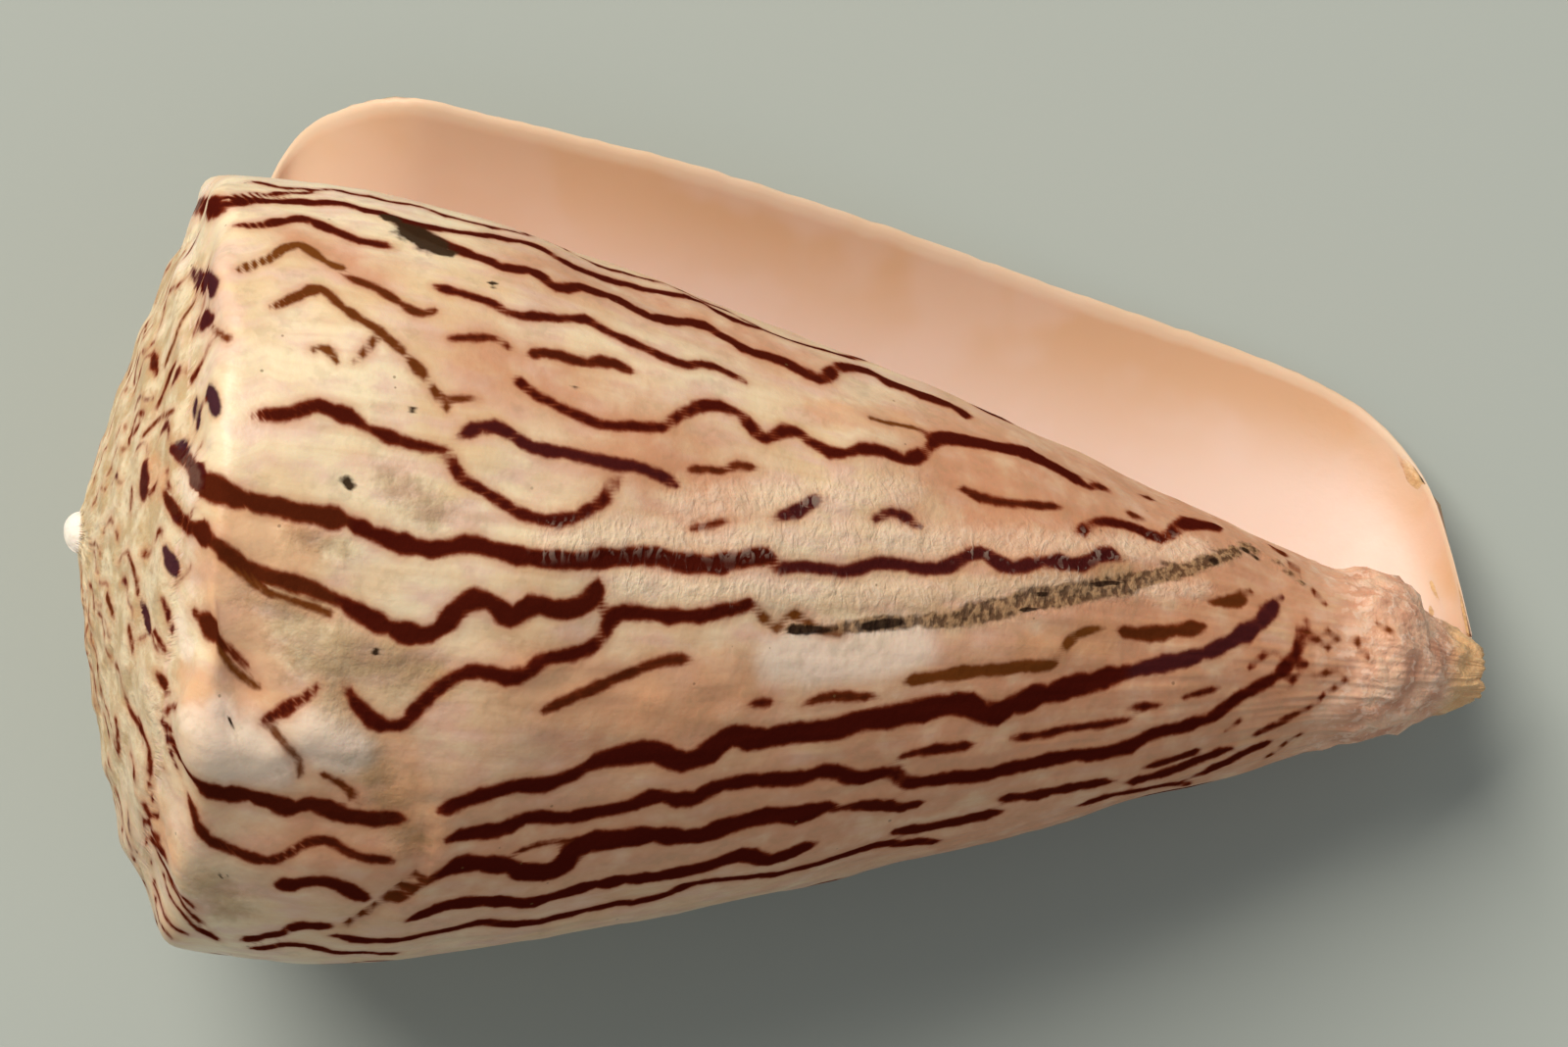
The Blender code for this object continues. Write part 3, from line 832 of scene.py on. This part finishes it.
# %% Lay it down
tilt = Matrix.Rotation(math.radians(REST_TILT), 4, "Y")
roll = Matrix.Rotation(math.radians(REST_ROLL), 4, "X")
lay = Matrix.Scale(MM, 4) @ Matrix.Translation(Vector(AXIS_START)) @ (tilt @ roll)
bmesh.ops.transform(bm, matrix=lay, verts=bm.verts)
for v in bm.verts:
    v.co.z = max(v.co.z, 0.0)
shell = mesh_object("shell_wall", bm)
shell.data.shade_smooth()
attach(shell, "root")
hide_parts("shell")
print("triangles:", sum(len(p.vertices) - 2 for p in shell.data.polygons))

camera_data = bpy.data.cameras.new("camera")
SENSOR = 36.0
camera_data.sensor_width = SENSOR
camera_data.lens = FOCAL_PX / FRAME_WIDTH * SENSOR
camera_data.clip_start = 0.01
camera = add_object("camera", camera_data)
laid_turn = (lay.to_3x3() * (1.0 / MM)) @ view.transposed()
camera.matrix_world = Matrix.Translation(lay @ eye) @ laid_turn.to_4x4()
bpy.context.scene.camera = camera
print("camera at", [round(c, 4) for c in camera.matrix_world.translation])

# %% [markdown]
# ## Helpers for the material
# Colours are written as the usual hex values and turned to linear light once. One function adds a
# node, with its settings and its links, and a few short ones stand for the steps used most.

# %% Colour and node helpers
def linear(hex_colour):
    values = [int(hex_colour[i:i + 2], 16) / 255.0 for i in (1, 3, 5)]
    return [v / 12.92 if v <= 0.04045 else ((v + 0.055) / 1.055) ** 2.4 for v in values] + [1.0]


def add_node(nodes_of, kind, settings=None, links=None):
    node = nodes_of.nodes.new(kind)
    for key, value in (settings or {}).items():
        if isinstance(key, int) or key in node.inputs.keys():
            node.inputs[key].default_value = value
        else:
            setattr(node, key, value)
    for key, source in (links or {}).items():
        if isinstance(source, (int, float, list, tuple)):
            node.inputs[key].default_value = source
        else:
            nodes_of.links.new(source, node.inputs[key])
    return node


def new_material(name):
    material = bpy.data.materials.new(name)
    material.use_nodes = True
    return material, material.node_tree, material.node_tree.nodes["Principled BSDF"]


shell_material, nt, shader = new_material("worn_aragonite_shell")
where = add_node(nt, "ShaderNodeTexCoord").outputs["Object"]
to_mm = {"operation": "SCALE", "Scale": 1.0 / MM}
object_mm = add_node(nt, "ShaderNodeVectorMath", to_mm, {0: where}).outputs[0]


def value_of(name):
    return add_node(nt, "ShaderNodeAttribute", {"attribute_name": name}).outputs["Fac"]


def calc(operation, a, b=0.0, clamp=False):
    settings = {"operation": operation, "use_clamp": clamp}
    return add_node(nt, "ShaderNodeMath", settings, {0: a, 1: b}).outputs[0]


def times(a, b):
    return calc("MULTIPLY", a, b)


def plus(a, b, clamp=False):
    return calc("ADD", a, b, clamp)


def most(a, b):
    return calc("MAXIMUM", a, b)


def wobble(texture, amount):
    """The texture less its middle, times amount: added to a value it makes its edge uneven."""
    return times(calc("SUBTRACT", texture, 0.5), amount)


def ramp(value, low, high, out_low=0.0, out_high=1.0):
    """A smooth step from out_low to out_high while the value goes from low to high."""
    settings = {"interpolation_type": "SMOOTHSTEP", "From Min": low, "From Max": high,
                "To Min": out_low, "To Max": out_high}
    return add_node(nt, "ShaderNodeMapRange", settings, {"Value": value}).outputs[0]


def blend(factor, under, over):
    """Lays the colour over on the colour under."""
    links = {0: factor, 6: under, 7: over}
    return add_node(nt, "ShaderNodeMix", {"data_type": "RGBA"}, links).outputs[2]


def coat(under, factor, hex_colour):
    return blend(factor, under, linear(hex_colour))


def noise_of(per_mm, detail, vector=None, distortion=0.0):
    """Noise whose features are about one over per_mm millimetres wide."""
    settings = {"Scale": per_mm, "Detail": detail, "Distortion": distortion}
    links = {"Vector": vector or object_mm}
    return add_node(nt, "ShaderNodeTexNoise", settings, links).outputs["Fac"]


def stretched(vector, x, y):
    return add_node(nt, "ShaderNodeMapping", {"Scale": (x, y, 1.0)}, {"Vector": vector}).outputs[0]


print("helpers ready")

# %% [markdown]
# ## The shell's ground colour, and painted shade on its lower flank
# Aragonite is the calcium carbonate of sea shells. Its layers are cream, and rose where the last
# growth thickened them. The deeper rose along the lower flank is painted shade. Bands of tint
# follow the growth lines, as they were laid down together.

# %% Ground colour
growth, along, rows_up, inside, lip_mm, chalk_zone = [
    value_of(name) for name in ("growth", "along", "row", "inside", "lip", "chalk")]

# the sheets' own map: millimetres round the body, and along it
growth_map = add_node(nt, "ShaderNodeUVMap", {"uv_map": "growth_map"}).outputs[0]
growth_lines = stretched(growth_map, 1.0, 0.10)
cross_lines = stretched(growth_map, 0.42, 1.0)

mottle = noise_of(0.22, 2.0)
patchy = noise_of(0.7, 3.0)
fine = noise_of(2.2, 3.0)
threads = noise_of(1.4, 3.0, growth_lines)
ground = blend(ramp(mottle, 0.36, 0.62), linear("#e0c298"), linear("#edd9b4"))
pinkish = noise_of(0.8, 3.0, stretched(growth_map, 1.0, 0.5))
ground = coat(ground, ramp(pinkish, 0.42, 0.66, 0.0, 0.65), "#dcb4a4")
# rose tint towards the front end; the rose strokes along the lower flank are painted shade
rose_tint_and_shade = plus(times(value_of("rose_and_low_shade"), 0.95), ramp(along, 24.0, 50.0, 0.0, 0.70), True)
rose_tint_and_shade = times(rose_tint_and_shade, ramp(patchy, 0.25, 0.6, 0.55, 1.0))
ground = coat(ground, rose_tint_and_shade, "#cb906c")
ground = coat(ground, ramp(threads, 0.44, 0.74, 0.0, 0.28), "#c69468")
print("ground nodes:", len(nt.nodes))

# %% [markdown]
# ## Wear colours, and a painted highlight
# The old whorls have lost their surface and are cream chalk, with tan in the sutures. The narrow
# front end is salmon. Chalky, orange and olive zones come from the soft strokes, and so do pale
# pearly ones, partly a painted highlight on the shoulder corner and the bumps; noise breaks their
# edges so no edge looks brushed.

# %% Wear colours and painted highlight
def zone(name, low, high, break_up=0.9):
    return ramp(plus(value_of(name), wobble(fine, break_up)), low, high)


front_end = ramp(plus(along, times(patchy, 6.0)), 54.0, 56.6)
salmon = blend(ramp(patchy, 0.35, 0.65), linear("#c58a6c"), linear("#e6b898"))
salmon = coat(salmon, ramp(fine, 0.53, 0.60, 0.0, 0.5), "#f2d2ba")
ground = blend(times(front_end, 0.9), ground, salmon)
ground = coat(ground, ramp(along, 57.8, 59.0, 0.0, 0.8), "#d9ae78")
suture = ramp(plus(rows_up, wobble(patchy, 5.0)), 2.6, 0.2, 0.0, 0.7)
on_spire = most(ramp(growth, 420.0, 640.0), suture)
straw = blend(ramp(patchy, 0.36, 0.60), linear("#b99b6c"), linear("#dfcba6"))
straw = coat(straw, ramp(fine, 0.54, 0.66, 0.0, 0.5), "#b08a5c")
ground = blend(times(on_spire, 0.85), ground, straw)
ground = coat(ground, ramp(rows_up, -1.2, -1.8), "#f8ebdc")

tan_zone = zone("orange", 0.25, 0.85, 0.6)
ground = coat(ground, times(tan_zone, 0.58), "#d79b6c")
crust = zone("green", 0.30, 1.05, 0.9)
ground = coat(ground, times(crust, 0.50), "#9a7440")
chalky = zone("chalk", 0.28, 1.15, 0.8)
ground = coat(ground, times(chalky, 0.40), "#f6dabb")
# pale pearly patches: partly real pale patches, partly a painted highlight on the shoulder corner
# and bumps
pale_and_highlight = ramp(plus(value_of("pale_and_highlight"), wobble(patchy, 0.6)), 0.25, 0.85)
ground = coat(ground, times(pale_and_highlight, 0.68), "#f6dfc8")
film = times(ramp(patchy, 0.50, 0.66), ramp(fine, 0.40, 0.60))
ground = coat(ground, times(film, 0.20), "#94805a")
print("with wear:", len(nt.nodes))

# %% [markdown]
# ## The lines
# Below zero the stored distance is inside a line. The pigment is densest in the middle and reddish
# at its edge, and a faint stain reaches four tenths of a millimetre round it. Where the shell is
# chalky, fine ridges run across the lines, and their rubbed tops are paler.

# %% Lines
tone = value_of("tone")
line_far = plus(value_of("line"), wobble(fine, 0.22))
maroon = blend(ramp(line_far, 0.02, -0.20), linear("#84351a"), linear("#46120a"))
pigment = coat(maroon, ramp(tone, 0.0, 1.0), "#6f3c16")
pigment = coat(pigment, ramp(tone, 0.0, -1.0), "#43242a")
crossing = noise_of(2.5, 2.0, cross_lines, 1.2)
scratched = times(ramp(crossing, 0.52, 0.62), ramp(chalk_zone, 0.30, 0.90))
density = ramp(line_far, 0.10, -0.11)
faded = plus(times(on_spire, 0.4), plus(pale_and_highlight, times(crust, 0.4)))
density = times(density, ramp(times(faded, fine), 0.1, 0.6, 1.0, 0.90))
painted = coat(ground, ramp(line_far, 0.40, 0.0, 0.0, 0.40), "#c08054")
painted = blend(density, painted, pigment)
painted = coat(painted, times(scratched, 0.22), "#ecd4bc")
print("with lines:", len(nt.nodes))

# %% [markdown]
# ## Erosion and dirt
# One band is eaten into, and dark dirt has settled between its ridges. Specks of dirt about a
# fifth of a millimetre across lie scattered over the rest.

# %% Erosion and dirt
band = zone("grey", 0.28, 0.62, 0.55)
ridges = noise_of(3.4, 2.0, stretched(growth_map, 0.4, 1.0))
band_colour = blend(ramp(ridges, 0.42, 0.60), linear("#4e3420"), linear("#a07c58"))
painted = blend(times(band, 0.88), painted, band_colour)
soot = plus(value_of("core"), wobble(fine, 0.5))
painted = coat(painted, ramp(soot, 0.30, 0.60, 0.0, 0.90), "#22120c")
grime = zone("dirt", 0.30, 0.65, 0.6)
painted = coat(painted, times(grime, 0.98), "#352416")
cells = add_node(nt, "ShaderNodeTexVoronoi", {"Scale": 0.8}, {"Vector": object_mm})
speck = ramp(plus(cells.outputs["Distance"], times(fine, 0.10)), 0.115, 0.085)
speck = times(speck, ramp(mottle, 0.46, 0.54))
painted = coat(painted, times(speck, 0.6), "#6b5030")
print("outside:", len(nt.nodes))

# %% [markdown]
# ## The mouth
# The inside is porcelain-smooth. It's rose in the middle, greyer where it turns in behind the body,
# and tan for the last few millimetres before a thin pale rim.

# %% Mouth colours
mouth = blend(ramp(lip_mm, 5.5, 0.9), linear("#e6c9b7"), linear("#d8ac86"))
mouth = coat(mouth, ramp(lip_mm, 8.0, 14.0, 0.0, 0.7), "#cba998")
mouth = coat(mouth, ramp(mottle, 0.42, 0.62, 0.0, 0.30), "#e6cabb")
mouth = coat(mouth, ramp(along, 28.0, 12.0, 0.0, 0.50), "#efc6a2")
rim = ramp(plus(lip_mm, times(patchy, 0.5)), 0.70, 0.35, 0.0, 0.6)
mouth = coat(mouth, rim, "#dfc2a4")
mouth = coat(mouth, ramp(inside, 0.56, 0.51), "#d2a898")
colour = blend(ramp(inside, 0.3, 0.5), painted, mouth)
nt.links.new(colour, shader.inputs["Base Color"])
print("nodes so far:", len(nt.nodes))

# %% [markdown]
# ## How it takes the light
# Dense aragonite has an index of about 1.6 and a low gloss, dull where it is chalk. Light sinks in
# by about a millimetre before it comes back, redder than it went in, and softens every shadow.

# %% Gloss and depth
dull = most(most(value_of("green"), value_of("grey")), most(times(on_spire, 0.6), chalk_zone))
gloss = plus(ramp(patchy, 0.3, 0.7, 0.28, 0.40), times(dull, 0.26), True)
gloss = calc("SUBTRACT", gloss, times(pale_and_highlight, 0.10), True)
gloss = plus(gloss, ramp(inside, 0.3, 0.5, 0.0, 0.14), True)
nt.links.new(gloss, shader.inputs["Roughness"])
plain_values = {"IOR": 1.6, "Subsurface Weight": 0.15, "Subsurface Scale": 0.0010,
                "Subsurface Radius": (1.0, 0.45, 0.25)}
for name, value in plain_values.items():
    shader.inputs[name].default_value = value
dark = most(density, most(band, grime))
nt.links.new(ramp(dark, 0.0, 1.0, 0.24, 0.0), shader.inputs["Specular IOR Level"])

# relief too fine for the mesh: growth lines 0.7 mm apart, wrinkles across them, and crumbs
wrinkle = times(crossing, times(chalk_zone, 0.8))
crumbs = plus(times(dull, 0.7), ramp(along, 52.5, 54.5, 0.35, 1.6))
crumbs = times(fine, crumbs)
eaten = times(value_of("grey"), calc("SUBTRACT", times(ridges, 1.6), 0.6))
lined = times(threads, ramp(along, 44.0, 53.0, 0.25, 0.0))
height = plus(plus(lined, wrinkle), plus(crumbs, eaten))
height = times(height, ramp(inside, 0.3, 0.5, 1.0, 0.10))
bump = add_node(nt, "ShaderNodeBump", {"Strength": 0.8, "Distance": 0.00014}, {"Height": height})
nt.links.new(bump.outputs["Normal"], shader.inputs["Normal"])
shell.data.materials.append(shell_material)
print("nodes in the shell's material:", len(nt.nodes))

# %% [markdown]
# ## Floor and light
# A plain pale floor and one large soft light from the upper left of the frame, with a weak fill,
# give the soft shadow that falls to the lower right.

# %% Floor
bm = bmesh.new()
bmesh.ops.create_grid(bm, x_segments=1, y_segments=1, size=1.2)
floor = mesh_object("floor", bm)
floor_material, _, floor_shader = new_material("matte_pale_floor")
floor_shader.inputs["Base Color"].default_value = linear("#a4aaa2")
floor_shader.inputs["Roughness"].default_value = 0.75
floor.data.materials.append(floor_material)
print("floor made")

# %% Lights
def area_light(name, where_from, size_m, power, colour_hex):
    data = bpy.data.lights.new(name, "AREA")
    data.size = size_m
    data.energy = power
    data.color = linear(colour_hex)[:3]
    light = add_object(name, data)
    light.location = where_from
    light.rotation_euler = (-Vector(where_from)).to_track_quat("-Z", "Y").to_euler()
    return light


key = area_light("key", (-0.50, 0.51, 0.82), 0.72, 14.4, "#fff9f1")
fill = area_light("fill", (0.40, -0.30, 0.60), 0.60, 0.6, "#f2f5ff")
world = bpy.data.worlds.new("soft_room")
world.use_nodes = True
room = world.node_tree.nodes["Background"]
room.inputs["Color"].default_value = linear("#eef1f3")
room.inputs["Strength"].default_value = 0.33
bpy.context.scene.world = world
bpy.context.scene.view_settings.view_transform = "Standard"
print("lights:", key.data.energy, fill.data.energy)
